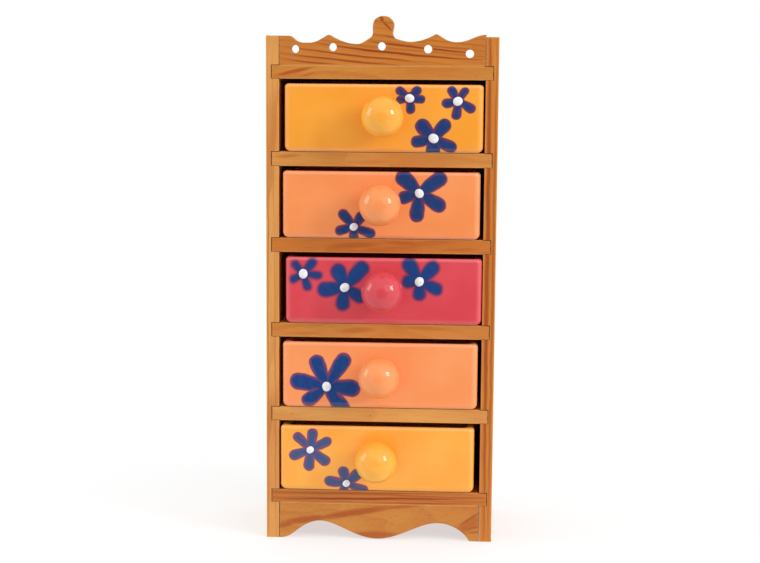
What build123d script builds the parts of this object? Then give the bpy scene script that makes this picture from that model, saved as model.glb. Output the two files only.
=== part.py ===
from build123d import *
import os

os.makedirs("parts", exist_ok=True)

# Carcass of pine boards, in millimetres
width = 140.0                  # over the outer faces of the two sides
carcass_depth = 76.0           # front edge to rear edge of a side
side_thickness = 7.8
end_shelf_thickness = 8.2      # top shelf and bottom shelf
divider_thickness = 8.7        # shelves between two drawers
bay_height = 43.8              # clear height of the opening that takes one drawer
apron_height = 22.8            # floor to the underside of the bottom shelf
side_rise = 17.5               # side panels above the top shelf
board_ease = 0.4               # rounded arrises of the boards

# Shelves housed in the sides, and the back panel in its rebates
dado_depth = 4.8
dado_end_gap = 0.3             # shelf end to the bottom of its dado
dado_slack = 0.2               # dado higher than the shelf that seats in it
panel_thickness = 3.0
panel_recess = 1.0             # rear face of the panel in from the rear edges of the sides
panel_gap = 0.2                # panel edge to the wall of the rebate
rebate_width = 4.0

# Crest board: heights are above the top shelf, offsets from its middle, pairs for the left and the right
crest_thickness = 8.0
crest_gap = 0.15               # each end to the side beside it
shoulder_height = 17.4         # left end
shoulder_length = 5.6          # level stretch at the left end
steep_run_share = 0.43         # steep stretch beside it: shares of the way over and down to the valley
steep_drop_share = 0.78
end_height = 18.9              # right end
end_slope = 4.0                # degrees, of the outline where it meets the right end
outer_valley_heights = (13.4, 14.3)
inner_valley_heights = (12.8, 14.3)
inner_valley_reach = 9.2       # outwards from the flank of the finial
peak_heights = (18.1, 18.9)
peak_offset = 32.3
peak_slope = 28.0              # degrees, of the outline on both flanks of a peak
peak_round = 1.6               # radius of the tip between the flanks
finial_height = 29.6
finial_width = 12.7
finial_offset = 0.6            # middle of the finial to the right of the middle of the crest
hang_hole_diameter = 5.0
outer_hole_inset = 9.6         # from each end of the crest
outer_hole_heights = (9.5, 7.4)
inner_hole_spots = ((-29.8, 10.8), (-0.4, 11.5), (27.4, 10.0))

# Places on the finial's outline, from its left root round to its right cove: across from its middle as
# shares of its half width, and up as shares of its rise above the valleys
finial_shares = ((-1.5, 0.12), (-1.06, 0.27), (-1.0, 0.52), (-0.8, 0.86), (0.0, 1.0),
                 (0.62, 0.92), (1.0, 0.68), (0.89, 0.38), (1.05, 0.2), (1.6, 0.11))

# Apron board: heights are above the floor
apron_thickness = 8.0
apron_gap = 0.25               # each end to the side beside it
arch_height = 11.1
arch_inset = 23.4              # crown of each arch from the end of the apron
lobe_clearance = 0.4           # lobe between the arches to the floor
lobe_offset = 1.4              # lobe to the left of the middle
foot_length = 5.6              # level foot at the right end
foot_slope = 62.0              # degrees, of the outline where it meets that foot

# Glazed ceramic drawers, one entry for each from the top: share of its side gap that it stands
# off the middle of its bay, to the right
side_play_used = (0.54, 0.04, 0.80, 0.02, -0.57)
drawer_side_gap = 2.3          # on each side of a drawer in the middle of its bay
drawer_top_gap = 2.8
running_gap = 0.2              # drawer foot to the shelf it slides on
rear_gap = 0.3                 # drawer to the back panel, which stops it
front_proud = 2.5              # drawer front before the front edges of the carcass
drawer_wall = 5.0
drawer_floor = 5.0
bottom_round = 3.6             # edge all round the bottom
corner_excess = 0.4            # upright corners rounder than the edges they run into
cavity_corner = 3.0
rim_flat = 0.6                 # level stretch left on top of the rounded rim
foot_flat = 5.4                # width of the ring that the drawer stands on
foot_recess = 0.8

# Ball knobs with a stub through the drawer front
knob_diameter = 25.2
ball_gap = 0.75                # rear of the ball to the drawer front
neck_radius = 6.5
neck_flare = 1.9               # neck wider where it meets the drawer front
knob_rise = 1.6                # above the middle of the drawer front
stub_radius = 4.0
stub_gap = 0.05                # around the stub
stub_short = 0.4               # end of the stub below the inside of the drawer front

# Levels and places that follow from the sizes above
drawer_count = len(side_play_used)
opening_width = width - 2 * side_thickness
pitch = bay_height + divider_thickness
top_shelf_level = apron_height + end_shelf_thickness + drawer_count * pitch - divider_thickness
crest_level = top_shelf_level + end_shelf_thickness
side_height = crest_level + side_rise

knob_radius = knob_diameter / 2
knob_standoff = knob_radius + ball_gap
overall_depth = carcass_depth + front_proud + knob_standoff + knob_radius
rear_y = overall_depth / 2
front_y = rear_y - carcass_depth
carcass_middle_y = (front_y + rear_y) / 2
rebate_depth = panel_thickness + panel_recess
shelf_depth = carcass_depth - rebate_depth
shelf_middle_y = front_y + shelf_depth / 2
shelf_length = opening_width + 2 * (dado_depth - dado_end_gap)

drawer_width = opening_width - 2 * drawer_side_gap
drawer_height = bay_height - drawer_top_gap - running_gap
drawer_depth = front_proud + shelf_depth - rear_gap
drawer_front_y = front_y - front_proud
drawer_middle_y = drawer_front_y + drawer_depth / 2

# Every shelf from the top down: name, level of its underside, thickness
shelves = [("top_shelf", top_shelf_level, end_shelf_thickness)]
for number in range(1, drawer_count):
    shelves.append((f"divider_{number}", top_shelf_level - number * pitch, divider_thickness))
shelves.append(("bottom_shelf", apron_height, end_shelf_thickness))


def direction(degrees):
    """Unit vector that rises at an angle from the left to the right."""
    return Vector(1, 0).rotate(Axis.Z, degrees)


level = direction(0)
end_pull_ratio = (1, 1)        # strength of a spline's two end tangents, which keeps its curvature even

# Side panels: a dado for each shelf, and a rebate for the back panel along the rear inner edge
for name, hand in (("left_side", -1), ("right_side", 1)):
    with BuildPart() as side:
        with BuildSketch():
            with Locations((hand * (width - side_thickness) / 2, carcass_middle_y)):
                Rectangle(side_thickness, carcass_depth)
            with Locations((hand * (opening_width + rebate_width) / 2, rear_y - rebate_depth / 2)):
                Rectangle(rebate_width, rebate_depth, mode=Mode.SUBTRACT)
        extrude(amount=side_height)
        fillet(side.edges().filter_by(Axis.Z).group_by(Axis.Y)[0], board_ease)
        for _, underside, thickness in shelves:
            with BuildSketch(Plane.XY.offset(underside)):
                with Locations((hand * (opening_width + dado_depth) / 2, carcass_middle_y)):
                    Rectangle(dado_depth, carcass_depth)
            extrude(amount=thickness + dado_slack, mode=Mode.SUBTRACT)
    side.part.label = name
    export_step(side.part, f"parts/{name}.step")

# Shelves: plain boards, flush with the front edges of the sides and seated in the dadoes
for name, underside, thickness in shelves:
    with BuildPart() as shelf:
        with BuildSketch(Plane.XY.offset(underside)):
            with Locations((0, shelf_middle_y)):
                Rectangle(shelf_length, shelf_depth)
        extrude(amount=thickness)
        fillet(shelf.edges().filter_by(Axis.X).group_by(Axis.Y)[0], board_ease)
    shelf.part.label = name
    export_step(shelf.part, f"parts/{name}.step")

# Back panel: a thin sheet behind the shelves, from the bottom shelf to the top shelf
with BuildPart() as back_panel:
    with BuildSketch(Plane.XY.offset(apron_height)):
        with Locations((0, rear_y - panel_recess - panel_thickness / 2)):
            Rectangle(opening_width + 2 * (rebate_width - panel_gap), panel_thickness)
    extrude(amount=crest_level - apron_height)
back_panel.part.label = "back_panel"
export_step(back_panel.part, "parts/back_panel.step")

# Crest board: hand-sawn scallops with pointed peaks, a leaning finial and five drilled holes
crest_half = opening_width / 2 - crest_gap
shoulder_end = crest_half - shoulder_length
outer_valley = (shoulder_end + peak_offset) / 2
inner_valley = finial_width / 2 + inner_valley_reach
shoulder = Vector(-shoulder_end, shoulder_height)
valleys = [Vector(-outer_valley, outer_valley_heights[0]),
           Vector(finial_offset - inner_valley, inner_valley_heights[0]),
           Vector(finial_offset + inner_valley, inner_valley_heights[1]),
           Vector(outer_valley, outer_valley_heights[1])]
fall = valleys[0] - shoulder
steep_foot = shoulder + Vector(steep_run_share * fall.X, steep_drop_share * fall.Y)
valley_level = sum(inner_valley_heights) / 2
finial_rise = finial_height - valley_level
finial_places = [(finial_offset + across * finial_width / 2, valley_level + up * finial_rise)
                 for across, up in finial_shares]
climb = direction(peak_slope)
tip_run = peak_round * climb.Y
tip_drop = peak_round * (1 - climb.X)
outer_hole = crest_half - outer_hole_inset
left_hole_height, right_hole_height = outer_hole_heights
with BuildPart() as crest_board:
    with BuildSketch(Plane((0, front_y + crest_thickness, crest_level), (1, 0, 0), (0, -1, 0))):
        with BuildLine():
            Polyline((crest_half, end_height), (crest_half, 0), (-crest_half, 0),
                     (-crest_half, shoulder_height), shoulder)
            Spline(shoulder, steep_foot, valleys[0], tangents=(level, level), tangent_scalars=end_pull_ratio)
            Spline(valleys[1], *finial_places, valleys[2],
                   tangents=(level, level), tangent_scalars=end_pull_ratio)
            for peak, height, left_valley, right_valley in (
                    (-peak_offset, peak_heights[0], valleys[0], valleys[1]),
                    (peak_offset, peak_heights[1], valleys[2], valleys[3])):
                flank_top = Vector(peak - tip_run, height - tip_drop)
                Spline(left_valley, flank_top, tangents=(level, climb))
                tip = TangentArc(flank_top, (peak + tip_run, height - tip_drop), tangent=climb)
                Spline(tip @ 1, right_valley, tangents=(tip % 1, level))
            Spline(valleys[3], (crest_half, end_height), tangents=(level, direction(end_slope)))
        make_face()
        with Locations((-outer_hole, left_hole_height), (outer_hole, right_hole_height),
                       *inner_hole_spots):
            Circle(hang_hole_diameter / 2, mode=Mode.SUBTRACT)
    extrude(amount=crest_thickness)
    front_edges = crest_board.faces().sort_by(Axis.Y)[0].outer_wire().edges()
    fillet(front_edges.filter_by(Axis.Z, reverse=True), board_ease)
crest_board.part.label = "crest_board"
export_step(crest_board.part, "parts/crest_board.step")

# Apron board: two arches with a middle lobe, a flowing left foot and a level right foot
apron_half = opening_width / 2 - apron_gap
left_foot = Vector(-apron_half, 0)
left_crown = Vector(arch_inset - apron_half, arch_height)
lobe = Vector(-lobe_offset, lobe_clearance)
right_crown = Vector(apron_half - arch_inset, arch_height)
right_foot = Vector(apron_half - foot_length, 0)
with BuildPart() as apron_board:
    with BuildSketch(Plane((0, front_y + apron_thickness, 0), (1, 0, 0), (0, -1, 0))):
        with BuildLine():
            Spline(left_foot, (left_foot + left_crown) / 2, left_crown, (left_crown + lobe) / 2, lobe,
                   (lobe + right_crown) / 2, right_crown, right_foot,
                   tangents=(level, direction(-foot_slope)))
            Polyline(right_foot, (apron_half, 0), (apron_half, apron_height),
                     (-apron_half, apron_height), left_foot)
        make_face()
    extrude(amount=apron_thickness)
    front_edges = apron_board.faces().sort_by(Axis.Y)[0].outer_wire().edges()
    fillet(front_edges.filter_by(Axis.Z, reverse=True), board_ease)
apron_board.part.label = "apron_board"
export_step(apron_board.part, "parts/apron_board.step")

# Drawers and knobs, from the top bay down
outer_corner = bottom_round + corner_excess
cavity_round = cavity_corner - corner_excess
rim_round = (drawer_wall - rim_flat) / 2
foot_inset = bottom_round + foot_flat
for number, play_used in enumerate(side_play_used, start=1):
    middle_x = play_used * drawer_side_gap
    foot_level = top_shelf_level - number * pitch + divider_thickness + running_gap
    rim_level = foot_level + drawer_height
    knob_middle = Vector(middle_x, drawer_front_y, foot_level + drawer_height / 2 + knob_rise)

    # Drawer: a cast tray with soft edges, a round rim, a foot ring and a hole for the knob's stub
    with BuildPart() as drawer:
        with BuildSketch(Plane((middle_x, drawer_middle_y, foot_level))):
            RectangleRounded(drawer_width, drawer_depth, outer_corner)
        extrude(amount=drawer_height)
        fillet(drawer.edges().group_by(Axis.Z)[0], bottom_round)
        with BuildSketch(Plane((middle_x, drawer_middle_y, foot_level + drawer_floor))):
            RectangleRounded(drawer_width - 2 * drawer_wall, drawer_depth - 2 * drawer_wall, cavity_corner)
        extrude(amount=drawer_height, mode=Mode.SUBTRACT)
        fillet(drawer.faces().sort_by(Axis.Z)[-1].edges(), rim_round)
        fillet(drawer.faces().filter_by(Plane.XY).group_by(Axis.Z)[1].edges(), cavity_round)
        with BuildSketch(Plane((middle_x, drawer_middle_y, foot_level))):
            RectangleRounded(drawer_width - 2 * foot_inset, drawer_depth - 2 * foot_inset, cavity_corner)
        extrude(amount=foot_recess, mode=Mode.SUBTRACT)
        with BuildSketch(Plane(knob_middle, (1, 0, 0), (0, 1, 0))):
            Circle(stub_radius + stub_gap)
        extrude(amount=drawer_wall, mode=Mode.SUBTRACT)
    drawer.part.label = f"drawer_{number}"
    export_step(drawer.part, f"parts/drawer_{number}.step")

    # Knob: ball, flared neck and stub, turned about the axis that runs through the drawer front
    neck_reach = knob_standoff - (knob_radius**2 - neck_radius**2) ** 0.5
    with BuildPart() as knob:
        with BuildSketch(Plane(knob_middle)):
            with BuildLine():
                Polyline((0, -knob_standoff - knob_radius), (0, drawer_wall - stub_short),
                         (stub_radius, drawer_wall - stub_short), (stub_radius, 0),
                         (neck_radius + neck_flare, 0))
                TangentArc((neck_radius, -neck_reach), (neck_radius + neck_flare, 0), tangent=(0, 1))
                ThreePointArc((0, -knob_standoff - knob_radius), (knob_radius, -knob_standoff),
                              (neck_radius, -neck_reach))
            make_face()
        revolve(axis=Axis(knob_middle, (0, 1, 0)))
    knob.part.label = f"knob_{number}"
    export_step(knob.part, f"parts/knob_{number}.step")
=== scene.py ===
from math import cos, radians, sin

import bpy
from mathutils import Matrix, Vector


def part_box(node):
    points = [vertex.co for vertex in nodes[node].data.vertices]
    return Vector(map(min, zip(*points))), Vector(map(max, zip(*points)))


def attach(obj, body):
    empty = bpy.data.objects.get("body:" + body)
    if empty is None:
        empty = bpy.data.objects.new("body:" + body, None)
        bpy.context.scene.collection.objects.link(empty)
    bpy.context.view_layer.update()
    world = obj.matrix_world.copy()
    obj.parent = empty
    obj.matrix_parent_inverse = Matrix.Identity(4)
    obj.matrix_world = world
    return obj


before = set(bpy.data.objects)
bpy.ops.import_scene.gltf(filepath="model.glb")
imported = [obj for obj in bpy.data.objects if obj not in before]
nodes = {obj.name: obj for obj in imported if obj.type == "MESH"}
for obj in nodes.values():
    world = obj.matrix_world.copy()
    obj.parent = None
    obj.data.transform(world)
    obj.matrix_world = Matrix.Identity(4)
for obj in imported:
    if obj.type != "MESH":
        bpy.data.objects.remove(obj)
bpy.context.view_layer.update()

# Side panels: two planed pine boards with upright grain, stained honey brown and finished in satin lacquer.
# The shelves are glued into dadoes in them. From the front each shows its long edge, with a few growth rings.
mm = 0.001


def seen(red, green, blue):
    """The colour that the eye reads as these values from 0 to 255."""
    return (*(((v / 255 + 0.055) / 1.055) ** 2.4 for v in (red, green, blue)), 1.0)


def add(tree, kind, links, **settings):
    """A new node. Each link gives one of its inputs a value, or another node's output."""
    made = tree.nodes.new("ShaderNode" + kind)
    for name, value in settings.items():
        setattr(made, name, value)
    for socket, value in links.items():
        if isinstance(value, bpy.types.NodeSocket):
            tree.links.new(value, made.inputs[socket])
        else:
            made.inputs[socket].default_value = value
    return made


def calc(tree, operation, *values):
    """The result of a Math node."""
    return add(tree, "Math", dict(enumerate(values)), operation=operation).outputs[0]


def ramp(tree, value, start, end, low, high):
    """A value that goes from low to high, smoothly, while the given one goes from start to end."""
    links = {"Value": value, "From Min": start, "From Max": end, "To Min": low, "To Max": high}
    return add(tree, "MapRange", links, interpolation_type="SMOOTHSTEP").outputs[0]


def mixed(tree, share, first, second):
    """Two colours mixed, with that share of the second."""
    links = {0: share, 6: first, 7: second}
    return add(tree, "Mix", links, data_type="RGBA").outputs[2]


def noise(tree, place, stretch, detail=2.0):
    """Cloudy noise from 0 to 1, with so many clouds for each unit of the place along X, Y and Z."""
    spread = add(tree, "VectorMath", {0: place, 1: stretch}, operation="MULTIPLY").outputs[0]
    return add(tree, "TexNoise", {"Vector": spread, "Scale": 1.0, "Detail": detail}).outputs["Fac"]


def placed(tree, origin, turn):
    """Object coordinates in millimetres from an origin, along axes turned by three angles in degrees."""
    links = {"Vector": add(tree, "TexCoord", {}).outputs["Object"], "Location": [mm * v for v in origin],
             "Rotation": [radians(v) for v in turn], "Scale": (mm, mm, mm)}
    return add(tree, "Mapping", links, vector_type="TEXTURE").outputs[0]


def finish(name, material):
    """Gives a CAD node one material all over."""
    nodes[name].data.materials.clear()
    nodes[name].data.materials.append(material)


def room_in(tree, low, high):
    """How far inside a box a place lies, along X, Y and Z, and how far from the nearest arris."""
    from_middle = placed(tree, (low + high) / 2, (0, 0, 0))
    reach = add(tree, "VectorMath", {0: from_middle}, operation="ABSOLUTE").outputs[0]
    room = add(tree, "VectorMath", {0: (high - low) / 2, 1: reach}, operation="SUBTRACT").outputs[0]
    inside = add(tree, "SeparateXYZ", {0: room}).outputs
    nearer, farther = (calc(tree, pick, inside["X"], inside["Y"]) for pick in ("MINIMUM", "MAXIMUM"))
    return inside, calc(tree, "MAXIMUM", nearer, calc(tree, "MINIMUM", farther, inside["Z"]))


def pine(board, pith, turn, ring, light, dark, bold, bow=0.0, streaks=(), housed=0.0):
    """Stained pine on one board, with X along it, Z across its front edge and the middle of that edge as
    origin. Growth rings lie round a pith line: its place, its turn from X, the width of a year and the
    strength of its late wood. Bow bends the grain. A streak of late wood has a middle, a slope, a reach, a
    breadth and a depth. So much of each end as is housed in another board gets a painted shade round it:
    a dark brown line that stands for the shade in the joint."""
    wood = bpy.data.materials.new(f"{board} pine")
    wood.use_nodes = True
    tree = wood.node_tree
    low, high = (Vector(corner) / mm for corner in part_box(board))
    middle, half = (low + high) / 2, (high - low) / 2
    upright = -90 if half.z > half.x else 0
    grain = add(tree, "SeparateXYZ", {0: placed(tree, (middle.x, low.y, middle.z), (0, upright, 0))}).outputs
    bend = calc(tree, "MULTIPLY", calc(tree, "MULTIPLY", grain["X"], grain["X"]), bow)
    across = calc(tree, "SUBTRACT", grain["Z"], bend)
    straight = add(tree, "CombineXYZ", {"X": grain["X"], "Y": grain["Y"], "Z": across}).outputs[0]
    waver_height = 1.6
    drift = noise(tree, straight, (0.04, 0.1, 0.1), 3.0)
    waver = calc(tree, "MULTIPLY_ADD", drift, waver_height, -waver_height / 2)
    level = calc(tree, "ADD", across, waver)
    wavy = add(tree, "CombineXYZ", {"X": grain["X"], "Y": grain["Y"], "Z": level}).outputs[0]
    log_links = {"Vector": wavy, "Location": pith, "Rotation": [radians(v) for v in turn]}
    log = add(tree, "Mapping", log_links, vector_type="TEXTURE").outputs[0]

    round_pith = add(tree, "VectorMath", {0: log, 1: (0, 1, 1)}, operation="MULTIPLY").outputs[0]
    radius = add(tree, "VectorMath", {0: round_pith}, operation="LENGTH").outputs["Value"]
    sway_years = 2.4
    sway = noise(tree, log, (0.012, 0.045, 0.045))
    years = calc(tree, "MULTIPLY_ADD", sway, sway_years, calc(tree, "DIVIDE", radius, ring))
    season = calc(tree, "FRACT", years)
    ring_number = calc(tree, "FLOOR", years)
    year = add(tree, "TexWhiteNoise", {"W": ring_number}, noise_dimensions="1D").outputs["Value"]
    summer = ramp(tree, season, 0.35, 0.88, 0.0, 1.0)
    winter = ramp(tree, season, 0.94, 1.0, 1.0, 0.0)
    growth = calc(tree, "MULTIPLY", summer, winter)
    strength = calc(tree, "MULTIPLY", ramp(tree, year, 0.0, 1.0, 0.3, 1.0), bold)
    late = calc(tree, "MULTIPLY", growth, strength)
    fibre = noise(tree, log, (0.04, 1.9, 1.9), 4.0)
    depth_of_board = 1000
    streak_core, streak_edge = 0.9, 1.6
    for x, z, slope, reach, breadth, depth in streaks:
        links = {"Vector": wavy, "Location": (x, 0, z), "Rotation": (0, radians(-slope), 0),
                 "Scale": (reach, depth_of_board, breadth)}
        spot = add(tree, "Mapping", links, vector_type="TEXTURE").outputs[0]
        away = add(tree, "VectorMath", {0: spot}, operation="LENGTH").outputs["Value"]
        feathered = calc(tree, "ADD", away, fibre)
        late = calc(tree, "MAXIMUM", late, ramp(tree, feathered, streak_core, streak_edge, depth, 0.0))

    cloud = noise(tree, log, (0.012, 0.05, 0.05), 3.0)
    flecks = ramp(tree, noise(tree, log, (0.16, 3.2, 3.2), 1.0), 0.66, 0.78, 0.0, 0.35)
    warm, arris_highlight, joint_shade_brown = seen(193, 112, 42), seen(230, 172, 100), seen(74, 34, 12)
    early = mixed(tree, ramp(tree, cloud, 0.35, 0.7, 0.0, 0.5), light, warm)
    stained = mixed(tree, late, early, dark)
    combed = mixed(tree, ramp(tree, fibre, 0.35, 0.75, 0.0, 0.30), stained, dark)
    flecked = mixed(tree, flecks, combed, dark)

    inside, from_arris = room_in(tree, low, high)
    # Painted highlight: the wood is paler along each arris, where the eased edge would catch the light.
    colour = mixed(tree, ramp(tree, from_arris, 0.1, 0.8, 0.5, 0.0), flecked, arris_highlight)
    if housed:
        seam_core, seam_edge = 0.15, 0.55
        in_dado = ramp(tree, inside["X"], housed - 0.3, housed + 1.5, 1.0, 0.0)
        at_face = ramp(tree, inside["Z"], seam_core, seam_edge, 1.0, 0.0)
        at_end = ramp(tree, inside["X"], seam_core, seam_edge, 1.0, 0.0)
        seam = calc(tree, "MAXIMUM", calc(tree, "MULTIPLY", in_dado, at_face), at_end)
        patchy = ramp(tree, noise(tree, straight, (0.11, 0.11, 0.5)), 0.35, 0.6, 0.45, 0.9)
        # Painted shade: round the housed ends the wood turns patchily dark brown, as the joint would be in
        # shade.
        colour = mixed(tree, calc(tree, "MULTIPLY", seam, patchy), colour, joint_shade_brown)

    grain_height = 0.15 * mm
    relief = calc(tree, "ADD", calc(tree, "MULTIPLY", fibre, 0.5), late)
    bump = add(tree, "Bump", {"Height": relief, "Strength": 0.25, "Distance": grain_height})
    shader = tree.nodes["Principled BSDF"]
    shader.inputs["Specular IOR Level"].default_value = 0.3
    shader.inputs["Coat Weight"].default_value = 0.06
    shader.inputs["Coat Roughness"].default_value = 0.25
    tree.links.new(colour, shader.inputs["Base Color"])
    tree.links.new(ramp(tree, fibre, 0.3, 0.7, 0.40, 0.52), shader.inputs["Roughness"])
    tree.links.new(bump.outputs[0], shader.inputs["Normal"])
    finish(board, wood)


honey, honey_dark = seen(223, 160, 85), seen(182, 102, 40)
amber, amber_dark = seen(209, 132, 50), seen(156, 68, 12)
left_streaks = ((0, 2.8, 0, 170, 0.5, 0.8), (-60, -1.5, 0.2, 120, 0.4, 0.8), (90, -0.4, 0.3, 70, 0.4, 0.5))
right_streaks = (
    (20, 1.3, 0.1, 200, 1.6, 0.9), (0, -2.2, -0.1, 190, 1.0, 0.65), (-110, 0.6, 0.4, 60, 0.5, 0.8))
pine("left_side", (-5, 44, 15), (0, 2.0, -1.5), 3.4, honey, honey_dark, 0.45, streaks=left_streaks)
pine("right_side", (-15, 32, -14), (0, -2.2, 1.5), 3.1, amber, amber_dark, 0.5, streaks=right_streaks)

# Shelves: six pine boards across the unit, glued into the dadoes and planed flush with the sides in front.
# Mostly their front edges show. The bottom one has close dark rings, and the others are paler and plainer.
top_streaks = ((-53, 0.4, 12, 14.5, 1.5, 0.95), (-44, -1.4, 14, 6.5, 1.0, 0.6), (57, -2.4, 0, 0.6, 0.5, 0.6))
smudges_1 = ((-57, 1.8, 3, 9, 1.5, 0.6), (-10, -1.5, 2, 22, 1.2, 0.3))
smudges_2 = ((-17, 0.2, 3, 19, 2.0, 0.6), (15, 1.8, -2, 16, 1.5, 0.5), (48, -1.6, 1, 14, 1.2, 0.4))
smudges_3 = ((-14, 0.3, 4, 14, 2.0, 0.55), (28, 2.3, -1, 19, 1.5, 0.45), (-46, -2.0, 1, 14, 1.0, 0.35))
pin_knots = ((-54, -0.1, 0, 0.9, 0.7, 1.0), (-5.7, -0.3, 0, 0.8, 0.6, 0.9))
bold_lines = ((-2, -0.8, 1.2, 75, 0.9, 1.0), (14, -3.6, 0.6, 52, 0.8, 0.95), (-11, 2.4, 1.0, 60, 0.6, 0.7))
shelf_boards = (
    ("top_shelf", (0, 26, -9), (0, -4.5, 3), 4.6, seen(204, 138, 56), seen(172, 80, 22), 0.3, top_streaks),
    ("divider_1", (0, 40, -6), (0, 1.5, 2), 5.0, seen(215, 149, 70), seen(180, 94, 32), 0.35, smudges_1),
    ("divider_2", (0, 34, -4), (0, -1.5, -3), 4.4, seen(201, 118, 44), seen(168, 74, 18), 0.4, smudges_2),
    ("divider_3", (0, 44, 5), (0, 1.0, 4), 5.2, seen(210, 136, 60), seen(174, 86, 30), 0.35, smudges_3),
    ("divider_4", (0, 50, 6), (0, -0.8, 2), 5.6, seen(222, 160, 84), seen(186, 108, 46), 0.35, pin_knots),
    ("bottom_shelf", (0, 6, -40), (0, 0.9, 0), 2.9, seen(194, 116, 44), seen(144, 60, 8), 0.55, bold_lines),
)
inner_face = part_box("right_side")[0][0]
for board, pith, turn, ring, light, dark, bold, streaks in shelf_boards:
    housed = (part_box(board)[1][0] - inner_face) / mm
    pine(board, pith, turn, ring, light, dark, bold, streaks=streaks, housed=housed)

# Crest: a pine board sawn in scallops, with a finial and five drilled holes, glued on to the top shelf.
# Bold dark rings run along it, slope down to the right and level out there. One curls across the finial.
crest_streaks = (
    (-24, -12.0, -4, 42, 0.7, 0.9), (-18, -8.8, -5, 48, 0.7, 0.9), (5, -6.9, -6, 54, 0.9, 1.0),
    (24, -4.2, -7, 38, 0.8, 1.0), (12, 1.2, -10, 19, 0.7, 0.9), (-42, -13.7, -4, 20, 0.7, 0.8),
    (41, -4.4, -6, 19, 0.6, 0.6), (40, -10.5, -5, 26, 0.6, 0.7), (2.7, 9.0, -44, 5.5, 0.9, 0.9),
    (-0.5, 13.0, -70, 3.0, 1.4, 0.8))
# The crest and apron ends get the painted joint shade over this many millimetres.
joint_shade_reach = 0.5
crest_bow = 0.0004
crest_light, crest_dark = seen(204, 128, 46), seen(144, 60, 6)
pine("crest_board", (0, 3, -49), (0, 6.0, 0), 3.6, crest_light, crest_dark, 0.4,
     bow=crest_bow, streaks=crest_streaks, housed=joint_shade_reach)

# Apron: a pine board sawn in two arches, glued under the bottom shelf between the sides.
# It is cut along the side of the log, so the rings show as broad flames.
apron_flames = (
    (-45, 0.5, 8, 20, 2.6, 0.85), (-15, 5.5, 10, 30, 2.8, 0.9), (16, 10.2, 6, 18, 1.4, 0.7),
    (-59, -3.2, 14, 9, 2.4, 0.8), (-3, -8.4, 0, 18, 3.0, 0.75), (57, -0.5, 32, 13, 4.6, 0.6),
    (56.5, 3.0, 36, 11, 1.1, 0.9), (60, -2.5, 12, 8, 0.9, 0.85), (60, -5.5, 8, 6, 0.8, 0.8))
apron_light, apron_dark = seen(198, 132, 56), seen(162, 76, 20)
pine("apron_board", (0, 40, -13), (0, -7, 8), 5.4, apron_light, apron_dark, 0.3,
     streaks=apron_flames, housed=joint_shade_reach)

# Back panel: a thin sheet of hardboard, glued into the rebates of the sides.
# It is plain brown and slightly fuzzy, and isn't lacquered.
board_brown, board_dark = seen(150, 102, 62), seen(112, 72, 42)
hardboard = bpy.data.materials.new("back hardboard")
hardboard.use_nodes = True
tree = hardboard.node_tree
sheet_place = placed(tree, (0, 0, 0), (0, 0, 0))
fuzz = noise(tree, sheet_place, (1.3, 1.3, 1.3), 6.0)
stain = noise(tree, sheet_place, (0.03, 0.03, 0.03), 3.0)
tinted = mixed(tree, ramp(tree, stain, 0.3, 0.7, 0.0, 0.35), board_brown, board_dark)
fuzzy = mixed(tree, ramp(tree, fuzz, 0.35, 0.7, 0.0, 0.5), tinted, board_dark)
fuzz_height = 0.2 * mm
fuzz_bump = add(tree, "Bump", {"Height": fuzz, "Strength": 0.3, "Distance": fuzz_height})
shader = tree.nodes["Principled BSDF"]
tree.links.new(fuzzy, shader.inputs["Base Color"])
tree.links.new(ramp(tree, fuzz, 0.35, 0.7, 0.7, 0.85), shader.inputs["Roughness"])
tree.links.new(fuzz_bump.outputs[0], shader.inputs["Normal"])
finish("back_panel", hardboard)

# Drawers: trays cast in earthenware, dipped in a coloured gloss glaze and wiped bare on the foot ring.
# Blue flowers are brushed on the fronts under the gloss, and their edges bleed into the glaze.
petal = bpy.data.node_groups.new("painted petal", "ShaderNodeTree")
for name in ("Along", "Across", "Reach", "Breadth"):
    petal.interface.new_socket(name, in_out="INPUT", socket_type="NodeSocketFloat")
petal.interface.new_socket("Distance", in_out="OUTPUT", socket_type="NodeSocketFloat")
given = petal.nodes.new("NodeGroupInput").outputs
root_share = 0.45
tip_radius = calc(petal, "MULTIPLY", given["Breadth"], 0.5)
tip_centre = calc(petal, "SUBTRACT", given["Reach"], tip_radius)
toward_tip = calc(petal, "DIVIDE", given["Along"], tip_centre)
toward_tip.node.use_clamp = True
rounded = calc(petal, "MULTIPLY", toward_tip, calc(petal, "SUBTRACT", 2.0, toward_tip))
swell = calc(petal, "MULTIPLY_ADD", rounded, 1 - root_share, root_share)
radius = calc(petal, "MULTIPLY", tip_radius, swell)
past = calc(petal, "SUBTRACT", given["Along"], calc(petal, "MULTIPLY", toward_tip, tip_centre))
span = calc(petal, "SQRT", calc(petal, "ADD", calc(petal, "POWER", past, 2.0),
                                calc(petal, "POWER", given["Across"], 2.0)))
result = petal.nodes.new("NodeGroupOutput")
petal.links.new(calc(petal, "SUBTRACT", span, radius), result.inputs["Distance"])


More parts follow.
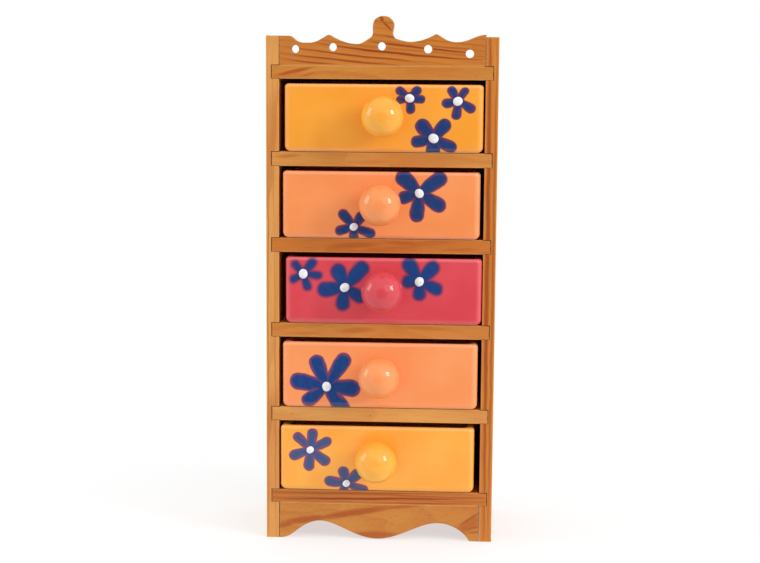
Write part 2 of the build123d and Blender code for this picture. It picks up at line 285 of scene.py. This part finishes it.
def flower_distance(tree, place, flowers):
    """How far a place on a drawer's front is outside the nearest petal, in millimetres. Round the dot at the
    heart the petals run together."""
    far_off = 1000.0
    around_dot = 0.68
    nearest = far_off
    for x, z, dot, petals in flowers:
        spot = add(tree, "VectorMath", {0: place, 1: (x, 0, z)}, operation="SUBTRACT").outputs[0]
        flat = add(tree, "VectorMath", {0: spot, 1: (1, 0, 1)}, operation="MULTIPLY").outputs[0]
        from_heart = add(tree, "VectorMath", {0: flat}, operation="LENGTH").outputs["Value"]
        nearest = calc(tree, "MINIMUM", calc(tree, "SUBTRACT", from_heart, around_dot * dot), nearest)
        for angle, reach, breadth in petals:
            c, s = cos(radians(angle)), sin(radians(angle))
            along = add(tree, "VectorMath", {0: spot, 1: (c, 0, s)}, operation="DOT_PRODUCT").outputs["Value"]
            sideways = (-s, 0, c)
            across = add(tree, "VectorMath", {0: spot, 1: sideways}, operation="DOT_PRODUCT").outputs["Value"]
            stroke = add(tree, "Group", {}, node_tree=petal)
            tree.links.new(along, stroke.inputs["Along"])
            tree.links.new(across, stroke.inputs["Across"])
            stroke.inputs["Reach"].default_value = reach
            stroke.inputs["Breadth"].default_value = breadth
            nearest = calc(tree, "MINIMUM", stroke.outputs["Distance"], nearest)
    return nearest


def glaze(node, colour, deep, roughness, flowers, blue=None, rim=None, rim_width=0, soft=0):
    """Gloss glaze on an earthenware node, with the middle of its front at the foot as origin. A drawer has
    flowers painted on its front, glaze that is paler along its edges, where it runs thinner and where a
    painted highlight stands for the rounded edges catching the light, and a bare foot."""
    ceramic = bpy.data.materials.new(f"{node} glaze")
    ceramic.use_nodes = True
    tree = ceramic.node_tree
    low, high = (Vector(corner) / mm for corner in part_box(node))
    place = placed(tree, ((low.x + high.x) / 2, low.y, low.z), (0, 0, 0))
    pool = noise(tree, place, (0.035, 0.035, 0.035))
    coat = mixed(tree, ramp(tree, pool, 0.3, 0.7, 0.0, 1.0), colour, deep)
    gloss = ramp(tree, pool, 0.3, 0.7, 0.85 * roughness, 1.2 * roughness)
    if flowers:
        from_arris = room_in(tree, low, high)[1]
        paling = 0.2
        thin_glaze_and_highlight = [v + paling * (1 - v) for v in colour]
        # Paler along the edges: partly glaze that runs thinner over the rounded edges, partly a painted
        # highlight where they would catch the lamps.
        coat = mixed(tree, ramp(tree, from_arris, 0.5, 2.6, 0.4, 0.0), coat, thin_glaze_and_highlight)

        wobble = Vector((1.1, 1.1, 1.1))
        shake = add(tree, "TexNoise", {"Vector": place, "Scale": 0.16, "Detail": 1.0}).outputs["Color"]
        shaken = add(tree, "VectorMath", {0: shake, 1: wobble, 2: place}, operation="MULTIPLY_ADD").outputs[0]
        by_hand = add(tree, "VectorMath", {0: shaken, 1: wobble / 2}, operation="SUBTRACT").outputs[0]
        distance = flower_distance(tree, by_hand, flowers)
        watery = seen(50, 84, 140)
        brushed = noise(tree, place, (0.3, 0.3, 0.3), 3.0)
        pigment = mixed(tree, ramp(tree, brushed, 0.4, 0.75, 0.0, 0.25), blue, watery)
        uneven = noise(tree, place, (0.22, 0.22, 0.22), 1.0)
        bleed = calc(tree, "MULTIPLY_ADD", uneven, 1.5 * rim_width, distance)
        stroke = mixed(tree, ramp(tree, bleed, -0.25 * rim_width, 0.55 * rim_width, 0.0, 1.0), pigment, rim)
        spot = add(tree, "SeparateXYZ", {0: place}).outputs
        in_petal = ramp(tree, distance, -0.3 * soft, 0.7 * soft, 1.0, 0.0)
        on_front = ramp(tree, spot["Y"], 3.0, 3.6, 1.0, 0.0)
        coat = mixed(tree, calc(tree, "MULTIPLY", in_petal, on_front), coat, stroke)

        clay, clay_roughness = seen(222, 196, 164), 0.8
        bare = ramp(tree, spot["Z"], 0.25, 0.4, 1.0, 0.0)
        coat = mixed(tree, bare, coat, clay)
        gloss = calc(tree, "MAXIMUM", gloss, calc(tree, "MULTIPLY", bare, clay_roughness))
    shader = tree.nodes["Principled BSDF"]
    tree.links.new(coat, shader.inputs["Base Color"])
    tree.links.new(gloss, shader.inputs["Roughness"])
    ripple = noise(tree, place, (0.04, 0.04, 0.04), 1.0)
    skin = calc(tree, "MULTIPLY_ADD", noise(tree, place, (0.35, 0.35, 0.35), 1.0), 0.06, ripple)
    wave_height = 0.35 * mm
    bump = add(tree, "Bump", {"Height": skin, "Strength": 1.0, "Distance": wave_height})
    tree.links.new(bump.outputs[0], shader.inputs["Normal"])
    finish(node, ceramic)


gold, gold_deep = seen(248, 166, 58), seen(245, 157, 46)
peach, peach_deep = seen(247, 152, 92), seen(244, 143, 80)
apricot, apricot_deep = seen(248, 157, 98), seen(245, 148, 87)
coral, coral_deep = seen(221, 76, 86), seen(215, 66, 76)
straw, straw_deep = seen(249, 172, 64), seen(247, 161, 52)
navy, marine, slate = seen(24, 55, 112), seen(14, 60, 126), seen(46, 74, 122)
plum, violet, mauve = seen(104, 48, 88), seen(58, 50, 104), seen(124, 60, 100)
front_gloss = 0.15
# Each drawer: its glaze, the glaze where it pools, the blue, its rim, the rim's width and the softness of the
# edge, and its flowers. Each flower: across from the middle and up from the foot, the dot at its heart, and
# its petals by angle, reach from the heart and breadth.
drawer_paint = (
    ("drawer_1", gold, gold_deep, navy, plum, 1.8, 0.8, (
        (15.5, 32.6, 5.4,
         ((142, 10.0, 5.1), (47, 9.0, 5.1), (190, 8.0, 4.8), (-4, 9.4, 5.3), (-84, 9.4, 5.4))),
        (44.4, 31.1, 5.6,
         ((120, 10.0, 5.6), (55, 9.8, 4.9), (192, 9.6, 5.6), (-28, 11.8, 5.6), (-95, 11.2, 5.6))),
        (30.1, 8.8, 6.0,
         ((133, 14.2, 9.0), (51, 14.3, 8.2), (192, 13.8, 7.2), (-26, 15.0, 7.5), (-92, 12.0, 8.6))))),
    ("drawer_2", peach, peach_deep, navy, plum, 1.7, 1.1, (
        (23.1, 28.1, 5.5,
         ((136, 18.1, 9.7), (36, 19.3, 9.4), (-31, 18.1, 8.8), (-96, 17.4, 8.7), (196, 13.5, 7.6))),
        (-16.4, 7.3, 4.9,
         ((130, 12.9, 6.4), (55, 11.0, 6.2), (195, 11.7, 5.7), (-21, 13.7, 6.0), (-90, 9.5, 5.7))))),
    ("drawer_3", coral, coral_deep, marine, violet, 2.0, 2.8, (
        (-48.9, 30.7, 5.7,
         ((131, 9.6, 4.6), (51, 11.3, 4.9), (210, 9.1, 4.4), (-6, 11.4, 4.6), (-72, 10.8, 4.6))),
        (-23.5, 22.6, 5.7,
         ((112, 15.2, 8.8), (49, 20.0, 8.8), (187, 16.6, 8.8), (-97, 14.2, 7.9), (-32, 14.6, 7.3))),
        (21.9, 26.8, 5.7,
         ((121, 16.1, 8.3), (46, 15.8, 8.3), (180, 10.4, 7.6), (-23, 14.9, 7.3), (-89, 11.5, 7.3))))),
    ("drawer_4", apricot, apricot_deep, marine, mauve, 2.0, 0.8, (
        (-32.6, 13.4, 5.8,
         ((112, 20.9, 9.6), (58, 24.1, 9.6), (170, 22.8, 10.5), (218, 18.3, 8.9), (-54, 21.0, 9.9),
          (-3, 20.8, 10.8))),)),
    ("drawer_5", straw, straw_deep, slate, mauve, 1.9, 0.8, (
        (-41.3, 25.8, 4.6,
         ((133, 14.2, 5.8), (82, 13.6, 6.6), (28, 14.7, 6.2), (200, 13.6, 6.6), (-94, 13.3, 6.6),
          (-36, 14.5, 6.8))),
        (-18.8, 5.0, 4.5,
         ((104, 11.1, 6.6), (42, 12.0, 6.8), (173, 13.6, 6.6), (-22, 14.2, 6.2), (-110, 8.0, 5.6))))),
)
for name, colour, deep, blue, rim, rim_width, soft, flowers in drawer_paint:
    glaze(name, colour, deep, front_gloss, flowers, blue, rim, rim_width, soft)

# Knobs: earthenware balls on a flared neck, glazed to match their drawers, with a soft sheen at the rim.
# Their stubs are fired into holes in the fronts.
knob_gold, knob_peach, knob_coral, knob_straw = (
    seen(243, 173, 62), seen(239, 148, 86), seen(203, 68, 78), seen(243, 175, 62))
knob_glazes = (knob_gold, knob_peach, knob_coral, knob_peach, knob_straw)
knob_gloss, rim_sheen = 0.08, 0.12
for number, (colour, (_, _, deep, *_)) in enumerate(zip(knob_glazes, drawer_paint), start=1):
    glaze(f"knob_{number}", colour, deep, knob_gloss, ())
    shader = nodes[f"knob_{number}"].active_material.node_tree.nodes["Principled BSDF"]
    shader.inputs["Sheen Weight"].default_value = rim_sheen
    shader.inputs["Sheen Roughness"].default_value = 0.6
    shader.inputs["Sheen Tint"].default_value = colour

# Hearts of the flowers: thick drops of white enamel, set down with a loaded brush on the painted flowers.
# Each has a round shoulder and an off-centre dimple where the brush was lifted.
enamel = bpy.data.materials.new("white enamel")
enamel.use_nodes = True
tree = enamel.node_tree
drop_place = placed(tree, (0, 0, 0), (0, 0, 0))
milk = noise(tree, drop_place, (0.6, 0.6, 0.6))
cool_white, warm_white = seen(239, 241, 245), seen(230, 231, 233)
whites = mixed(tree, ramp(tree, milk, 0.3, 0.7, 0.0, 1.0), cool_white, warm_white)
lump_height = 0.3 * mm
lumps = add(tree, "Bump", {"Height": milk, "Strength": 0.4, "Distance": lump_height})
shader = tree.nodes["Principled BSDF"]
tree.links.new(whites, shader.inputs["Base Color"])
tree.links.new(ramp(tree, milk, 0.3, 0.7, 0.14, 0.26), shader.inputs["Roughness"])
tree.links.new(lumps.outputs[0], shader.inputs["Normal"])

# The drop is modelled one unit wide, facing -Y
drop_width, drop_height, drop_rise = 1.06, 0.95, 0.28
drop_foot = 0.1
dimple_radius, dimple_depth = 0.14, 0.05
bpy.ops.object.select_all(action="DESELECT")
bpy.ops.mesh.primitive_uv_sphere_add(segments=28, ring_count=16, radius=0.5, rotation=(radians(90), 0, 0))
bpy.ops.object.transform_apply(location=False, rotation=True, scale=False)
drop = bpy.context.object
bpy.ops.object.mode_set(mode="EDIT")
bpy.ops.mesh.select_all(action="SELECT")
bpy.ops.mesh.bisect(plane_co=(0, drop_foot, 0), plane_no=(0, 1, 0), clear_outer=True, use_fill=True)
bpy.ops.mesh.select_all(action="SELECT")
bpy.ops.transform.resize(value=(drop_width, 2 * drop_rise, drop_height))
bpy.ops.mesh.select_all(action="DESELECT")
bpy.ops.object.mode_set(mode="OBJECT")
dimple = Vector((0.12, -drop_rise, 0.08))
for vertex in drop.data.vertices:
    vertex.select = (vertex.co - dimple).length < dimple_radius
bpy.ops.object.mode_set(mode="EDIT")
bpy.ops.transform.translate(value=(0, dimple_depth, 0))
bpy.ops.object.mode_set(mode="OBJECT")
bpy.ops.object.shade_smooth()
drop.data.materials.append(enamel)

sunk = 0.04
turn_step = 77
for name, *_, flowers in drawer_paint:
    low, high = (Vector(corner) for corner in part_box(name))
    for number, (x, z, size, _) in enumerate(flowers, start=1):
        heart = drop.copy()
        heart.data = drop.data.copy()
        heart.name = f"{name}_heart_{number}"
        bpy.context.collection.objects.link(heart)
        place = Vector(((low.x + high.x) / 2 + x * mm, low.y + sunk * size * mm, low.z + z * mm))
        turn = Matrix.Rotation(radians(turn_step * (number + x)), 4, "Y")
        heart.data.transform(Matrix.Translation(place) @ turn @ Matrix.Scale(size * mm, 4))
        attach(heart, name)
bpy.data.objects.remove(drop)

# Floor: a plain white table that takes the soft shadow of the unit and fades into the white ground around it.
# Near the unit it glows too, at the near-floor share, a painted light that makes its shadow paler.
# It ends not far before the unit, so the lowest drawer mirrors it and the others mirror the room.
bpy.ops.object.select_all(action="DESELECT")
floor_size = 12
floor_front = -0.33
bpy.ops.mesh.primitive_plane_add(size=floor_size, location=(0, floor_size / 2 + floor_front, 0))
bpy.ops.object.transform_apply()
floor = bpy.context.object
floor.name = "floor"
table_white = bpy.data.materials.new("white table")
table_white.use_nodes = True
tree = table_white.node_tree
tree.nodes.remove(tree.nodes["Principled BSDF"])
from_unit = add(tree, "VectorMath", {0: add(tree, "TexCoord", {}).outputs["Object"]}, operation="LENGTH")
shadow_reach, ground_starts = 0.08, 0.3
# Painted light: near the unit the floor glows at this share and takes shadow only on the rest.
near_floor_glow = 0.6
away = ramp(tree, from_unit.outputs["Value"], shadow_reach, ground_starts, near_floor_glow, 1.0)
matt = add(tree, "BsdfDiffuse", {"Color": (0.9, 0.9, 0.9, 1)})
glow = add(tree, "Emission", {"Color": (1, 1, 1, 1), "Strength": 1.0})
joined = add(tree, "MixShader", {0: away, 1: matt.outputs[0], 2: glow.outputs[0]})
tree.links.new(joined.outputs[0], tree.nodes["Material Output"].inputs["Surface"])
floor.data.materials.append(table_white)

# Light: an upright softbox on either side and a broad one before the unit, in a white tent that is dim round
# the camera. The camera itself sees a white ground, and so do surfaces that mirror what lies behind the unit.
unit_middle = Vector((0, 0, 0.16))
lamp_distance = 3.0


def softbox(name, direction, size, power):
    """A rectangular lamp that faces the middle of the unit."""
    lamp = bpy.data.lights.new(name, "AREA")
    lamp.shape = "RECTANGLE"
    lamp.size, lamp.size_y = size
    lamp.energy = power
    holder = bpy.data.objects.new(name, lamp)
    bpy.context.collection.objects.link(holder)
    holder.location = unit_middle + lamp_distance * Vector(direction).normalized()
    holder.rotation_euler = Vector(direction).to_track_quat("Z", "Y").to_euler()


softbox("right softbox", (0.80, -0.43, 0.42), (0.8, 1.15), 36)
softbox("left softbox", (-0.921, -0.15, 0.382), (1.2, 1.7), 20)
softbox("front softbox", (0.5, -0.7, 0.5), (1.8, 1.8), 8)

world = bpy.data.worlds.new("white tent")
bpy.context.scene.world = world
world.use_nodes = True
tree = world.node_tree
way = add(tree, "SeparateXYZ", {0: add(tree, "TexCoord", {}).outputs["Generated"]})
dim = 0.27
tent = ramp(tree, way.outputs["Y"], -0.96, -0.76, dim, 1.0)
ray = add(tree, "LightPath", {}).outputs
mirrored = calc(tree, "MAXIMUM", ray["Is Glossy Ray"], ray["Is Transmission Ray"])
ground_behind = calc(tree, "MULTIPLY", mirrored, ramp(tree, way.outputs["Y"], -0.1, 0.1, 0.0, 1.0))
ground = calc(tree, "MAXIMUM", ray["Is Camera Ray"], ground_behind)
tree.links.new(calc(tree, "MAXIMUM", tent, ground), tree.nodes["Background"].inputs["Strength"])
tree.nodes["Background"].inputs["Color"].default_value = (1, 1, 1, 1)

# Camera: a long lens a metre before the unit and a little to its right, looking slightly down.
# Its place and angles were fitted to the edges of the boards in the photo, which is 760 pixels wide.
image_width = 760
focal_pixels = 1700
to_right, before_front, up = 53.45 * mm, 1025.18 * mm, 308.62 * mm
yaw, pitch, roll = radians(3.001), radians(-8.105), radians(0.425)
camera = bpy.data.cameras.new("camera")
camera.sensor_width = 36
camera.lens = focal_pixels / image_width * camera.sensor_width
eye = bpy.data.objects.new("camera", camera)
bpy.context.collection.objects.link(eye)
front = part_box("left_side")[0][1]
eye.location = (to_right, front - before_front, up)
eye.rotation_euler = (Matrix.Rotation(yaw, 3, "Z") @ Matrix.Rotation(radians(90) + pitch, 3, "X")
                      @ Matrix.Rotation(roll, 3, "Z")).to_euler()
bpy.context.scene.camera = eye
bpy.context.scene.view_settings.view_transform = "Standard"
